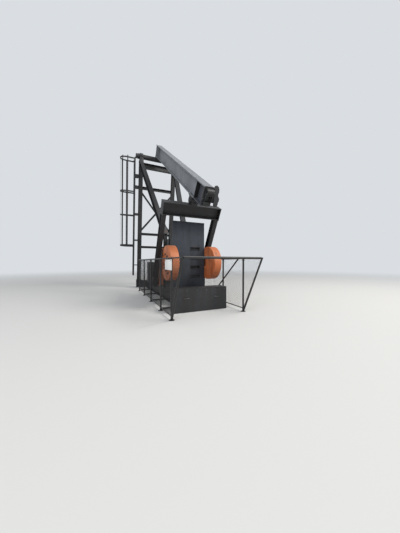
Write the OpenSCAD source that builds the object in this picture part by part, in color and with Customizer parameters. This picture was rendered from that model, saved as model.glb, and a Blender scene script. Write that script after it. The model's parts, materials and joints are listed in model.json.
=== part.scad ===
// Front-mounted beam pumping unit, shown at the bottom of its stroke.
// Millimetres, Z up, X towards the well, origin on the ground under the crank shaft.

/* [Skid] */
// distance of each skid rail from the middle plane
rail_y = 430; // [380:5:480]
// width of a skid rail
rail_w = 200; // [140:5:220]
// height of the skid rails
rail_h = 400; // [300:10:450]
// thickness of the rail webs and flanges
rail_t = 22; // [12:1:30]
// rear end of the skid rails
rail_rear_x = -5050; // [-5300:10:-4900]
// length of the front box
front_box_l = 400; // [250:10:500]
// width of the front box
front_box_w = 1720; // [1400:10:1800]
// height of the front box
front_box_h = 690; // [500:10:800]
// front edge of the base
front_x = 1650; // [1600:10:1800]
// width of the rear cross beam along the skid
rear_beam_l = 300; // [240:10:360]
// length of the rear cross beam from side to side
rear_beam_w = 2100; // [2050:10:2300]
// radius of the anchor bolt holes
anchor_r = 18; // [12:1:24]
// spacing of the anchor holes along the skid
anchor_dx = 200; // [140:10:220]
// spacing of the anchor holes across the skid
anchor_dy = 1500; // [1200:10:1700]

/* [Gear_reducer] */
// height of the crank shaft above the ground
shaft_z = 1700; // [1600:10:1800]
// radius of the crank shaft
shaft_r = 110; // [80:1:130]
// rear face of the gear case
case_rear = -750; // [-800:10:-700]
// front face of the gear case
case_front = 520; // [450:10:540]
// half width of the gear case
case_half = 440; // [380:5:450]
// top of the gear case
case_top = 2350; // [2200:10:2500]
// top of the pedestal
pedestal_top = 1150; // [1000:10:1200]
// wall thickness of case and pedestal
case_t = 30; // [20:1:40]
// outer radius of the shaft bearings
cap_r = 185; // [160:5:190]
// outer end of the shaft bearings from the middle plane
cap_end = 580; // [540:5:585]

/* [Step_plate] */
// thickness of the step plate
plate_t = 12; // [8:1:20]
// left edge of the step plate
plate_left = -580; // [-590:5:-500]
// right edge of the step plate
plate_right = 590; // [500:5:590]
// lower edge of the step plate
plate_low = 560; // [500:10:650]
// upper edge of the step plate
plate_high = 2850; // [2600:10:2950]
// length of a foot slot
slot_l = 370; // [250:10:420]
// height of a foot slot
slot_h = 85; // [60:5:120]
// height of the lowest foot slot
slot_low = 980; // [900:10:1100]
// distance between foot slots
slot_pitch = 320; // [280:10:360]
// sideways place of the foot slots
slot_y = 240; // [100:10:300]

/* [Post] */
// distance of the legs from the middle plane
leg_y = 900; // [860:10:930]
// width and depth of the leg sections
leg_w = 200; // [150:5:200]
// wall thickness of the leg sections
leg_t = 14; // [10:1:20]
// place of the rear legs at the top
rear_top_x = -4070; // [-4080:5:-4060]
// place of the rear legs at the foot
rear_foot_x = -5200; // [-5220:5:-5180]
// place of the front legs at the top
front_top_x = -3805; // [-3810:5:-3795]
// place of the front legs at the foot
front_foot_x = -900; // [-930:5:-870]
// top of the posts under the front legs
front_post_top = 2600; // [2500:10:2700]
// width of the posts under the front legs
front_post_w = 120; // [90:5:120]
// half length of the end plates of the front posts
post_cap = 150; // [130:5:160]
// underside of the head beam
head_low = 6550; // [6500:10:6600]
// top of the head beam
head_high = 6850; // [6800:10:6860]
// depth of the head beam
head_l = 550; // [540:10:600]
// length of the head beam from side to side
head_w = 2100; // [2020:10:2200]
// height of the lateral bars behind the legs
bar_low = 2330; // [2200:10:2500]
// height of the middle lateral bar
bar_mid = 3060; // [2900:10:3200]
// height of the upper lateral bar
bar_high = 5500; // [5400:10:5700]
// height of a lateral bar
bar_h = 120; // [80:5:160]

/* [Walking_beam] */
// length of the beam in front of the yoke pin
beam_nose = 882; // [860:1:1000]
// height of the walking beam
beam_h = 550; // [450:5:600]
// width of the beam flanges
beam_w = 280; // [220:5:300]
// thickness of the beam flanges
beam_tf = 30; // [20:1:40]
// thickness of the beam web
beam_tw = 24; // [14:1:30]
// length of beam behind its pivot
beam_tail = 250; // [200:10:320]
// distance of the beam stiffeners from the pivot
pivot_stiff = 180; // [160:5:220]
// distance of the beam stiffeners from the yoke pin
hanger_stiff = 160; // [140:5:190]
// half length of the saddle on the cross tube
saddle_half = 220; // [200:5:240]
// distance of the pivots below the beam
pivot_drop = 143; // [141:1:150]
// place of the beam pivot
pivot_x = -3940; // [-3945:1:-3935]
// height of the beam pivot
pivot_z = 7020; // [7015:1:7030]
// radius of the cross tube
tube_r = 120; // [100:1:125]
// half length of the cross tube
tube_half = 1170; // [1100:5:1180]
// outer radius of the beam pivot bearings
pillow_r = 165; // [150:1:168]
// half length of the base of a beam pivot bearing
pillow_base = 215; // [190:5:230]
// length of a beam pivot bearing
pillow_l = 170; // [120:5:200]
// radius of the horsehead pin hole
head_pin_r = 40; // [25:1:45]
// length of the horsehead pin hole
head_pin_l = 200; // [150:5:240]

/* [Linkage] */
// place of the yoke bearing
yoke_x = 1030; // [1000:5:1060]
// height of the yoke bearing
yoke_z = 3470; // [3440:5:3500]
// radius of the yoke pin
yoke_pin_r = 70; // [50:1:75]
// height of the yoke beam
yoke_h = 400; // [300:10:420]
// depth of the yoke beam
yoke_d = 340; // [260:10:360]
// depth of the pitman sections
pitman_d = 250; // [180:5:280]
// width of the pitman sections
pitman_w = 140; // [100:5:150]
// inner face of the pitmans from the middle plane
pitman_in = 865; // [862:1:880]
// throw of the crank
throw_r = 1150; // [1100:5:1200]
// thickness of the crank plates
crank_t = 160; // [120:5:170]
// inner face of the crank plates from the middle plane
crank_in = 640; // [630:5:650]
// radius of the crank hub
hub_r = 260; // [220:5:300]
// radius of the wrist pin boss
boss_r = 150; // [120:5:160]
// radius of the wrist pins
wrist_r = 70; // [50:1:80]
// radius of the wrist bearings
wrist_house_r = 185; // [150:5:200]
// end of the wrist pins from the middle plane
wrist_end = 858; // [850:1:860]
// direction of the weight arm below the horizon
weight_dip = 18; // [0:1:30]
// distance of the middle of the counterweights from the crank shaft
weight_mid = 840; // [800:5:880]
// radius of the round outline of the counterweights
weight_r = 560; // [500:5:570]
// radius of the hollow that the counterweights leave round the crank shaft
weight_in_r = 560; // [500:10:700]
// half width of the weight arm
arm_half = 180; // [140:5:200]
// inner face of the counterweights from the middle plane
weight_y0 = 600; // [600:1:620]
// outer face of the counterweights from the middle plane
weight_y1 = 855; // [820:1:856]

/* [Ladder] */
// distance of the ladder from the middle plane
ladder_y = 1220; // [1215:5:1240]
// half distance between the ladder rails
ladder_half = 210; // [190:5:230]
// size of a ladder rail
ladder_t = 50; // [40:2:50]
// lower end of the ladder
ladder_low = 700; // [600:50:900]
// upper end of the ladder
ladder_high = 6880; // [6850:10:7000]
// distance between rungs
rung_pitch = 300; // [250:10:320]
// radius of a rung
rung_r = 14; // [10:1:16]
// radius of the cage hoops
hoop_r = 340; // [320:5:380]
// length of the straight arms of the cage hoops
hoop_arm = 345; // [250:5:400]
// thickness of the cage hoops
hoop_t = 8; // [5:1:12]
// height of the cage hoops
hoop_h = 70; // [40:5:90]
// width of the cage straps
strap_w = 50; // [30:2:60]
// thickness of the cage straps
strap_t = 6; // [4:1:8]

/* [Guards] */
// distance of the guard rails from the middle plane
guard_y = 1100; // [1090:5:1140]
// foot of the slanting pipe of the right guard
brace_low_x = 640; // [600:10:700]
// top of the slanting pipe of the right guard
brace_high_x = 1950; // [1850:10:2000]
// radius of the guard rails
guard_r = 30; // [20:1:35]
// radius of the guard posts
guard_post_r = 27; // [18:1:32]
// height of the top guard rail
guard_top = 1570; // [1450:10:1650]
// height of the middle guard rail
guard_mid = 1050; // [950:10:1150]
// height of the bottom guard rail
guard_low = 530; // [450:10:600]
// rear end of the guards
guard_rear_x = -3500; // [-3600:10:-3400]
// front end of the top guard rail
guard_front_x = 3000; // [2800:10:3100]
// foot of the leaning front posts of the guards
guard_foot_x = 2200; // [2000:10:2300]

/* [Drive] */
// place of the gear input shaft
input_x = -550; // [-560:5:-540]
// height of the gear input shaft
input_z = 1850; // [1840:5:1870]
// radius of the gear sheave
gear_sheave_r = 340; // [300:5:345]
// place of the motor shaft
motor_x = -2900; // [-3000:10:-2800]
// height of the motor shaft
motor_z = 820; // [800:5:860]
// radius of the motor sheave
motor_sheave_r = 140; // [100:5:150]
// inner face of the sheaves from the middle plane
sheave_y0 = 510; // [508:1:515]
// outer face of the sheaves from the middle plane
sheave_y1 = 575; // [560:1:578]
// thickness of the drive belt
belt_t = 12; // [8:1:16]
// radius of the motor body
motor_r = 210; // [180:5:220]
// left end of the motor body
motor_end = 330; // [280:5:340]
// right end of the motor body
motor_face = 250; // [200:5:260]
// height of the motor base
motor_base_h = 190; // [150:5:200]
// length of the motor base along the skid
motor_base_l = 600; // [500:10:640]
// rear face of the control cabinet
cabinet_rear_x = -4450; // [-4500:10:-4400]
// length of the control cabinet
cabinet_l = 500; // [400:10:540]
// width of the control cabinet
cabinet_w = 670; // [500:10:700]
// height of the control cabinet
cabinet_h = 1050; // [900:10:1200]

/* [Fits] */
// gap between two faces that are bolted or welded together
seat = 0.3; // [0.2:0.05:0.4]
// radial clearance of a running bearing
run = 0.05; // [0.02:0.01:0.08]

/* [Hidden] */
$fn = 48;
big = 12000;
box_x = front_x - front_box_l;
rear_x = rail_rear_x - rear_beam_l / 2;
beam_dx = yoke_x - pivot_x;
beam_dz = pivot_z - yoke_z;
beam_reach = norm([beam_dx, beam_dz]);
beam_tilt = atan2(beam_dz, beam_dx);
beam_front = beam_reach + beam_nose;
beam_l = beam_tail + beam_front;
link_dx = yoke_x;
link_dz = yoke_z - shaft_z;
link_min = norm([link_dx, link_dz]);
link_tilt = atan2(link_dx, link_dz);
pitman_l = link_min + throw_r;
lean = (rear_foot_x - rear_top_x) / (head_low - rail_h);
lean_deg = atan(-lean);
hoop_z = [2400, 4020, 5220, 6810];
bracket_z = [1300, 2700, 4100, 5500, 6050];
bars_x = [-4400, -3600, -2900, -1700, 0];
guard_x = [guard_rear_x + guard_r, -1950, -450, 1060, guard_foot_x];

function rear_at(z) = rear_top_x + (head_low - z) * lean;

// A box between two opposite corners.
module block(a, b) {
  translate(a) cube(b - a);
}

// A copy on both sides of the middle plane.
module both_sides() {
  children();
  mirror([0, 1, 0]) children();
}

// A cylinder along Y between two distances from the middle plane.
module disc(x, z, r, y0, y1) {
  translate([x, y0, z]) rotate([-90, 0, 0]) cylinder(r = r, h = y1 - y0);
}

// A frame whose Z axis runs from one point to another.
module along(p, q) {
  v = q - p;
  translate(p) rotate([0, acos(v[2] / norm(v)), atan2(v[1], v[0])]) children();
}

// A round bar between two points.
module pipe(p, q, r) {
  along(p, q) cylinder(r = r, h = norm(q - p));
}

// A wide-flange section standing on its end.
module column(l, w, d, t) {
  translate([-d / 2, -w / 2, 0]) cube([t, w, l]);
  translate([d / 2 - t, -w / 2, 0]) cube([t, w, l]);
  translate([-d / 2, -t / 2, 0]) cube([d, t, l]);
}

// The part of a shape between two heights.
module between(z0, z1) {
  intersection() {
    children();
    translate([-big, -big, z0]) cube([2 * big, 2 * big, z1 - z0]);
  }
}

// The frame of the walking beam, with X along the beam and the pivot at zero.
module on_beam() {
  translate([pivot_x, 0, pivot_z]) rotate([0, beam_tilt, 0]) children();
}

// The frame of the pitmans, with the yoke bearing at zero and Z up the pitmans.
module on_link() {
  translate([yoke_x, 0, yoke_z]) rotate([0, link_tilt, 0]) children();
}

// The frame of the crank, with X along the given direction.
module on_crank(a) {
  translate([0, 0, shaft_z]) rotate([0, -a, 0]) children();
}

pin_dir = atan2(-link_dz, -link_dx);

module skid_rails() {
  color("dimgray") both_sides() translate([0, rail_y, 0]) {
    block([rail_rear_x + seat, -rail_w / 2, 0], [box_x - seat, rail_w / 2, rail_t]);
    block([rail_rear_x + seat, -rail_w / 2, rail_h - rail_t],
      [box_x - seat, rail_w / 2, rail_h]);
    block([rail_rear_x + seat, -rail_t / 2, 0], [box_x - seat, rail_t / 2, rail_h]);
  }
}

module skid_crossbars() {
  e = rail_y - rail_w / 2 - seat;
  color("dimgray") for (x = bars_x) {
    block([x - 80, -e, 0], [x + 80, e, rail_t]);
    block([x - 80, -e, rail_h - rail_t], [x + 80, e, rail_h]);
    block([x - rail_t / 2, -e, 0], [x + rail_t / 2, e, rail_h]);
  }
}

module front_box() {
  w = front_box_w / 2;
  color("dimgray") difference() {
    block([box_x, -w, 0], [front_x, w, front_box_h]);
    for (k = [0:3]) {
      block([box_x + 16, -w + 16 + k * (2 * w - 16) / 4, -1],
        [front_x - 16, -w + (k + 1) * (2 * w - 16) / 4, front_box_h - 16]);
    }
  }
}

module rear_crossbeam() {
  w = rear_beam_w / 2;
  l = rear_beam_l / 2;
  color("dimgray") difference() {
    union() {
      block([rear_x - l, -w, 0], [rear_x + l, w, 25]);
      block([rear_x - l, -w, rail_h - 25], [rear_x + l, w, rail_h]);
      block([rear_x - 12, -w, 0], [rear_x + 12, w, rail_h]);
      both_sides() block([rear_x - l, leg_y - 10, 0], [rear_x + l, leg_y + 10, rail_h]);
    }
    for (i = [-1, 1], j = [-1, 1]) {
      translate([rear_x + i * anchor_dx / 2, j * anchor_dy / 2, -5]) {
        cylinder(r = anchor_r, h = 40);
      }
    }
  }
}

module pedestal() {
  z0 = rail_h + seat;
  w = rail_y + rail_w / 2 - 10;
  color("dimgray") difference() {
    block([case_rear + 130, -w, z0], [case_front + 40, w, pedestal_top]);
    for (i = [0, 1], j = [0, 1]) {
      block([case_rear + 130 + case_t + i * 560, -w + case_t + j * (w - case_t / 2), z0 - 1],
        [case_rear + 130 + 560 + i * 560, -case_t / 2 + j * (w - case_t / 2),
          pedestal_top - case_t]);
    }
    both_sides() block([case_rear + 200, w - 12, z0 + 60], [case_front - 30, w + 1, 1050]);
  }
}

module gear_half(z0, z1) {
  c = case_half;
  m = (case_rear + case_front) / 2;
  difference() {
    union() {
      block([case_rear, -c, z0], [case_front, c, z1]);
      both_sides() for (x = [case_rear + 80, m - 150, case_front - 80]) {
        block([x - 12, c - 1, z0], [x + 12, c + 35, z1]);
      }
    }
    disc(0, shaft_z, shaft_r + 30, -c - 60, c + 60);
    disc(0, shaft_z, cap_r + seat, c - 2, cap_end + 1);
    disc(0, shaft_z, cap_r + seat, -cap_end - 1, -c + 2);
    both_sides() block([m - 200, c, input_z - 120], [case_rear - 1, c + 60, input_z + 120]);
    children();
  }
}

module gear_case() {
  c = case_half - case_t;
  m = (case_rear + case_front) / 2;
  z0 = pedestal_top + seat;
  color("dimgray") {
    gear_half(z0, shaft_z) {
      block([case_rear + case_t, -c, z0 + case_t], [m - 15, c, shaft_z + 1]);
      block([m + 15, -c, z0 + case_t], [case_front - case_t, c, shaft_z + 1]);
    }
  }
}

module gear_cover() {
  c = case_half - case_t;
  m = (case_rear + case_front) / 2;
  z0 = shaft_z + seat;
  color("dimgray") {
    gear_half(z0, case_top) {
      block([case_rear + case_t, -c, z0 - 1], [m - 15, c, case_top - case_t]);
      block([m + 15, -c, z0 - 1], [case_front - case_t, c, case_top - case_t]);
    }
    difference() {
      block([m - 250, -250, case_top - 1], [m + 250, 250, case_top + 40]);
    }
  }
}

module shaft_bearings() {
  color("dimgray") both_sides() difference() {
    union() {
      disc(0, shaft_z, cap_r, case_half - 2 + seat, cap_end - 30);
      disc(0, shaft_z, cap_r - 25, case_half, cap_end);
    }
    disc(0, shaft_z, shaft_r + run, case_half - 10, cap_end + 10);
  }
}

module step_plate() {
  x0 = case_front + 60;
  color("slategray") difference() {
    block([x0, plate_left, plate_low], [x0 + plate_t, plate_right, plate_high]);
    for (k = [0:3]) {
      z = slot_low + k * slot_pitch;
      block([x0 - 5, slot_y - slot_l / 2, z - slot_h / 2],
        [x0 + plate_t + 5, slot_y + slot_l / 2, z + slot_h / 2]);
    }
  }
}

module plate_posts() {
  x0 = case_front + 40 + seat;
  x1 = case_front + 60 - seat;
  color("dimgray") both_sides() {
    block([x0, rail_y - 30, rail_h + 100], [x1, rail_y + 30, plate_high - 10]);
  }
}

module front_posts() {
  color("dimgray") both_sides() translate([front_foot_x, rail_y, 0]) {
    z0 = rail_h + seat;
    translate([0, 0, z0]) column(front_post_top - z0, front_post_w, leg_w, leg_t);
    c = post_cap;
    block([-c, -front_post_w / 2, front_post_top - 20], [c, front_post_w / 2, front_post_top]);
    block([-c, -front_post_w / 2, z0], [c, front_post_w / 2, z0 + 20]);
  }
}

module front_leg(s) {
  p = [front_foot_x, s * rail_y, front_post_top];
  q = [front_top_x, s * leg_y, head_low];
  color("dimgray") between(front_post_top + seat, head_low - seat) {
    along(p, q) translate([0, 0, -300]) column(norm(q - p) + 600, leg_w, leg_w, leg_t);
  }
}

module front_leg_left() {
  front_leg(-1);
}

module front_leg_right() {
  front_leg(1);
}

module rear_leg(s) {
  p = [rear_foot_x, s * leg_y, rail_h];
  q = [rear_top_x, s * leg_y, head_low];
  color("dimgray") between(rail_h + seat, head_low - seat) {
    along(p, q) translate([0, 0, -300]) column(norm(q - p) + 600, leg_w, leg_w, leg_t);
  }
}

module rear_leg_left() {
  rear_leg(-1);
}

module rear_leg_right() {
  rear_leg(1);
}

module head_beam() {
  l = head_l / 2;
  w = head_w / 2;
  color("dimgray") translate([pivot_x, 0, 0]) difference() {
    block([-l, -w, head_low], [l, w, head_high]);
    block([-l + 20, -w - 1, head_low + 20], [-10, w + 1, head_high - 20]);
    block([10, -w - 1, head_low + 20], [l - 20, w + 1, head_high - 20]);
  }
}

module lateral_bars() {
  e = leg_y - leg_w / 2 - seat;
  color("dimgray") for (z = [bar_low, bar_mid, bar_high]) translate([rear_at(z), 0, z]) {
    block([-95, -e, -bar_h / 2], [95, e, -bar_h / 2 + 12]);
    block([-95, -e, bar_h / 2 - 12], [95, e, bar_h / 2]);
    block([-8, -e, -bar_h / 2], [8, e, bar_h / 2]);
  }
}

module cross_brace() {
  e = leg_y - leg_w / 2 - seat;
  z0 = bar_mid + 2 * bar_h;
  z1 = bar_high - 2 * bar_h;
  zm = (z0 + z1) / 2;
  color("dimgray") for (s = [-1, 1]) intersection() {
    translate([rear_at(zm), 0, zm]) rotate([0, lean_deg, 0]) {
      translate([s * (leg_w / 2 - 8), 0, 0]) rotate([-s * atan2(2 * e, z1 - z0), 0, 0]) {
        translate([-8, -50, z0 - z1]) cube([16, 100, 2 * (z1 - z0)]);
      }
    }
    block([-big, -e, 0], [big, e, big]);
  }
}

module pivot_bearings() {
  y0 = leg_y - pillow_l / 2;
  y1 = leg_y + pillow_l / 2;
  color("dimgray") both_sides() difference() {
    union() {
      disc(pivot_x, pivot_z, pillow_r, y0, y1);
      block([pivot_x - 130, y0, head_high + seat], [pivot_x + 130, y1, pivot_z]);
      block([pivot_x - pillow_base, y0, head_high + seat],
        [pivot_x + pillow_base, y1, head_high + 45]);
    }
    disc(pivot_x, pivot_z, tube_r + run, y0 - 10, y1 + 10);
  }
}

module ladder() {
  y = -ladder_y;
  h = ladder_t / 2;
  p = [rear_at(ladder_low), y, ladder_low];
  q = [rear_at(ladder_high), y, ladder_high];
  color("dimgray") between(ladder_low, ladder_high) {
    for (s = [-1, 1]) translate([s * ladder_half, 0, 0]) along(p, q) {
      translate([-h, -h, -50]) cube([2 * h, 2 * h, norm(q - p) + 100]);
    }
    for (z = [ladder_low + 250:rung_pitch:ladder_high - 100]) {
      translate([rear_at(z) - ladder_half, y, z]) rotate([0, 90, 0]) {
        cylinder(r = rung_r, h = 2 * ladder_half);
      }
    }
  }
}

module ladder_brackets() {
  y0 = -ladder_y + ladder_t / 2 + seat;
  y1 = -leg_y - leg_w / 2 - seat;
  color("dimgray") for (z = bracket_z) translate([rear_at(z), 0, z]) {
    block([-ladder_half - 20, y0, -20], [ladder_half + 20, y1, 20]);
  }
}

// The frame of the leaning ladder at a height, with Z along it.
module on_ladder(z) {
  translate([rear_at(z), 0, z]) rotate([0, lean_deg, 0]) children();
}

module cage_hoops() {
  y0 = -ladder_y - ladder_t / 2 - seat;
  yc = y0 - hoop_arm;
  r = hoop_r;
  t = hoop_t;
  color("dimgray") for (z = hoop_z) on_ladder(z) {
    translate([0, 0, -hoop_h / 2]) difference() {
      union() {
        translate([0, yc, 0]) cylinder(r = r, h = hoop_h, $fn = 64);
        block([-r, yc, 0], [r, y0, hoop_h]);
      }
      translate([0, yc, -1]) cylinder(r = r - t, h = hoop_h + 2, $fn = 64);
      block([-r + t, yc, -1], [r - t, y0 - t, hoop_h + 2]);
    }
  }
}

module cage_straps() {
  yc = -ladder_y - ladder_t / 2 - seat - hoop_arm;
  c = hoop_r - hoop_t - 4.3;
  z0 = hoop_z[0] - hoop_h / 2;
  z1 = hoop_z[3] + hoop_h / 2;
  l = (z1 - z0) / cos(lean_deg) + 2 * hoop_r;
  color("dimgray") for (a = [0, 45, 90, 135, 180]) between(z0, z1) on_ladder(z0) {
    translate([c * cos(a), yc - c * sin(a), 0]) rotate([0, 0, -a]) {
      translate([-strap_t / 2, -strap_w / 2, -hoop_r]) cube([strap_t, strap_w, l]);
    }
  }
}

module guard_side() {
  f = guard_foot_x;
  y = guard_y;
  for (z = [guard_top, guard_mid, guard_low]) {
    pipe([guard_rear_x, y, z], [f + (guard_front_x - f) * z / guard_top, y, z], guard_r);
  }
  for (x = guard_x) {
    pipe([x, y, 0], [x, y, guard_top], guard_post_r);
  }
  pipe([f, y, 0], [guard_front_x, y, guard_top], guard_post_r);
  translate([guard_front_x, y, guard_top]) sphere(r = guard_r);
}

module guard_left() {
  color("black") mirror([0, 1, 0]) between(0, guard_top + 100) guard_side();
}

module guard_right() {
  color("black") between(0, guard_top + 100) {
    guard_side();
    pipe([brace_low_x, guard_y, guard_low], [brace_high_x, guard_y, guard_top], guard_post_r - 4);
  }
}

module guard_front_rail() {
  e = guard_y - guard_r - seat;
  color("black") pipe([guard_front_x, -e, guard_top], [guard_front_x, e, guard_top], guard_r);
}

module guard_stays() {
  y0 = rail_y + rail_t / 2 + seat;
  y1 = guard_y - guard_post_r - seat;
  color("black") both_sides() {
    for (x = [for (i = [0:3]) guard_x[i]]) block([x - 20, y0, 30], [x + 20, y1, 80]);
  }
}

module drive_hull(r1, r2, y0, y1) {
  hull() {
    disc(input_x, input_z, r1, y0, y1, $fn = 64);
    disc(motor_x, motor_z, r2, y0, y1, $fn = 64);
  }
}

module belt_guard() {
  y0 = sheave_y0 - 10;
  y1 = weight_y0 - 10;
  g = 30;
  color("dimgray") {
    difference() {
      drive_hull(gear_sheave_r + g, motor_sheave_r + g + 30, y0, y1);
      drive_hull(gear_sheave_r + g - 6, motor_sheave_r + g + 24, y0 - 1, y1 - 6);
    }
    block([input_x - 35, case_half + seat, input_z + gear_sheave_r + 14],
      [input_x + 35, y0 + 5, input_z + gear_sheave_r + g - 1]);
    block([motor_x - 50, y0, rail_h + seat],
      [motor_x + 50, rail_y + rail_w / 2 - 2, motor_z - motor_sheave_r - g - 25]);
  }
}

module sheaves() {
  color("dimgray") {
    difference() {
      disc(input_x, input_z, gear_sheave_r, sheave_y0, sheave_y1);
      disc(input_x, input_z, gear_sheave_r - 50, sheave_y0 + 40, sheave_y1 + 1);
    }
    disc(input_x, input_z, 45, case_half + seat, sheave_y1 + 5);
    disc(motor_x, motor_z, motor_sheave_r, sheave_y0, sheave_y1);
    disc(motor_x, motor_z, 30, motor_face + seat, sheave_y1 + 5);
  }
}

module drive_belt() {
  c = 1 / cos(180 / 64);
  color("black") difference() {
    drive_hull(gear_sheave_r + belt_t, motor_sheave_r + belt_t, sheave_y0 + 8, sheave_y1 - 8);
    drive_hull((gear_sheave_r + seat) * c, (motor_sheave_r + seat) * c, 0, sheave_y1 + 1);
  }
}

module motor() {
  z0 = rail_h + motor_base_h + seat;
  color("dimgray") {
    difference() {
      disc(motor_x, motor_z, motor_r, -motor_end, motor_face - 10);
      for (a = [0:15:345]) {
        translate([motor_x, 0, motor_z]) rotate([0, a, 0]) {
          block([motor_r - 24, -motor_end + 80, -9], [motor_r + 30, motor_face - 70, 9]);
        }
      }
    }
    disc(motor_x, motor_z, motor_r - 40, -motor_end - 30, motor_face);
    both_sides() block([motor_x - 170, 90, z0], [motor_x + 170, 150, motor_z - 100]);
    block([motor_x - 80, -60, motor_z + motor_r - 60], [motor_x + 80, 100, motor_z + motor_r + 90]);
  }
}

module motor_base() {
  z0 = rail_h + seat;
  z1 = rail_h + motor_base_h;
  e = rail_y + 40;
  color("dimgray") {
    for (s = [-1, 1]) {
      m = motor_x + s * (motor_base_l / 2 - 70);
      block([m - 50, -e, z0], [m + 50, e, z1 - 20]);
    }
    block([motor_x - motor_base_l / 2, -200, z1 - 40], [motor_x + motor_base_l / 2, 200, z1]);
  }
}

module control_cabinet() {
  z0 = rail_h + seat;
  color("dimgray") {
    x0 = cabinet_rear_x;
    x1 = x0 + cabinet_l;
    y0 = -rail_y - rail_w / 2 + 10;
    y1 = y0 + cabinet_w;
    z1 = z0 + cabinet_h;
    block([x0, y0, z0], [x1, y1, z1]);
    block([x0 - 25, y0 - 8, z1 - 1], [x1 + 25, y1 + 25, z1 + 25]);
  }
}

module crank_shaft() {
  color("gray") disc(0, shaft_z, shaft_r, -(crank_in + crank_t + 25), crank_in + crank_t + 25);
}

// the weight arm, whose end follows the outline of the counterweights
module crank_nose(y0, y1) {
  tip = weight_mid + weight_r;
  difference() {
    block([hub_r - 110, y0, -arm_half], [tip, y1, arm_half]);
    difference() {
      block([weight_mid + 300, y0 - 5, -arm_half - 10], [tip + 10, y1 + 5, arm_half + 10]);
      disc(weight_mid, 0, weight_r - 15, y0 - 10, y1 + 10, $fn = 192);
    }
  }
}

module crank_plate() {
  y0 = crank_in;
  y1 = crank_in + crank_t;
  difference() {
    union() {
      disc(0, shaft_z, hub_r, y0, y1);
      on_crank(-weight_dip) {
        crank_nose(y0 + 15, y1 - 15);
      }
      on_crank(pin_dir) {
        block([hub_r - 80, y0 + 10, -boss_r + 20], [throw_r - 80, y1 - 10, boss_r - 20]);
        disc(throw_r, 0, boss_r, y0, y1);
      }
    }
    disc(0, shaft_z, shaft_r + seat, y0 - 10, y1 + 10);
    on_crank(pin_dir) disc(throw_r, 0, wrist_r + seat, y0 - 10, y1 + 10);
  }
}

module crank_left() {
  color("dimgray") mirror([0, 1, 0]) crank_plate();
}

module crank_right() {
  color("dimgray") crank_plate();
}

module counterweights() {
  v = arm_half + seat;
  color("orange") both_sides() for (s = [-1, 1]) on_crank(-weight_dip) intersection() {
    difference() {
      disc(weight_mid, 0, weight_r, weight_y0, weight_y1, $fn = 192);
      disc(0, 0, weight_in_r, weight_y0 - 10, weight_y1 + 10, $fn = 96);
    }
    block([1, 0, s > 0 ? v : -big], [big, big, s > 0 ? big : -v]);
  }
}

module wrist_pins() {
  y1 = crank_in + crank_t;
  color("gray") both_sides() on_crank(pin_dir) {
    disc(throw_r, 0, wrist_r, crank_in - 15, wrist_end);
    disc(throw_r, 0, wrist_r + 30, y1 + seat, y1 + 35);
  }
}

module walking_beam() {
  z0 = pivot_drop;
  z1 = pivot_drop + beam_h;
  w = beam_w / 2;
  f = beam_tf;
  color("lightgray") on_beam() {
    block([-beam_tail, -w, z0], [beam_front, w, z0 + f]);
    block([-beam_tail, -w, z1 - f], [beam_front, w, z1]);
    block([-beam_tail, -beam_tw / 2, z0], [beam_front, beam_tw / 2, z1]);
    for (x = [-pivot_stiff, pivot_stiff, beam_l * 0.22, beam_l * 0.43, beam_l * 0.64,
      beam_reach - hanger_stiff, beam_reach + hanger_stiff, beam_front - 40]) {
      block([x - 10, -w + 8, z0 + f - 1], [x + 10, w - 8, z1 - f + 1]);
    }
  }
}

module cross_tube() {
  color("lightgray") on_beam() difference() {
    union() {
      disc(0, 0, tube_r, -tube_half, tube_half);
      block([-saddle_half, -beam_w / 2, 0], [saddle_half, beam_w / 2, pivot_drop - seat]);
    }
    disc(0, 0, tube_r - 28, -tube_half - 5, tube_half + 5);
  }
}

module yoke_hanger() {
  c = yoke_pin_r + 35;
  z1 = pivot_drop - seat;
  color("lightgray") on_beam() translate([beam_reach, 0, 0]) {
    block([-200, -150, z1 - 20], [200, 150, z1]);
    both_sides() {
      block([-c + 5, 110, 0], [c - 5, 150, z1]);
      disc(0, 0, c, 110, 150);
    }
    disc(0, 0, yoke_pin_r, -165, 165);
  }
}

module horsehead_bracket() {
  x0 = beam_front + seat;
  z0 = pivot_drop;
  l = head_pin_l / 2;
  color("gray") on_beam() difference() {
    union() {
      block([x0, -150, z0 + 50], [x0 + 30, 150, z0 + beam_h + 10]);
      block([x0 + 29, -l, z0 + 330], [x0 + 120, l, z0 + 520]);
      disc(x0 + 120, z0 + 437, 80, -l, l);
      block([x0 + 29, -110, z0 + 60], [x0 + 110, 110, z0 + 160]);
    }
    disc(x0 + 120, z0 + 437, head_pin_r, -l - 10, l + 10);
  }
}

module yoke() {
  w = pitman_in + pitman_w;
  z1 = -pivot_drop + 13;
  z0 = z1 - yoke_h;
  d = yoke_d / 2;
  color("lightgray") on_link() difference() {
    block([-d, -w, z0], [d, w, z1]);
    block([-d - 1, -w - 1, z0 + 25], [-12, w + 1, z1 - 25]);
    block([12, -w - 1, z0 + 25], [d + 1, w + 1, z1 - 25]);
  }
}

module yoke_bearing() {
  z1 = -pivot_drop + 13 + seat;
  color("gray") on_link() difference() {
    union() {
      disc(0, 0, yoke_pin_r + 40, -104, 104);
      block([-150, -104, z1], [150, 104, z1 + 50]);
      block([-100, -104, z1], [100, 104, -20]);
    }
    disc(0, 0, yoke_pin_r + run, -120, 120);
  }
}

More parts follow.
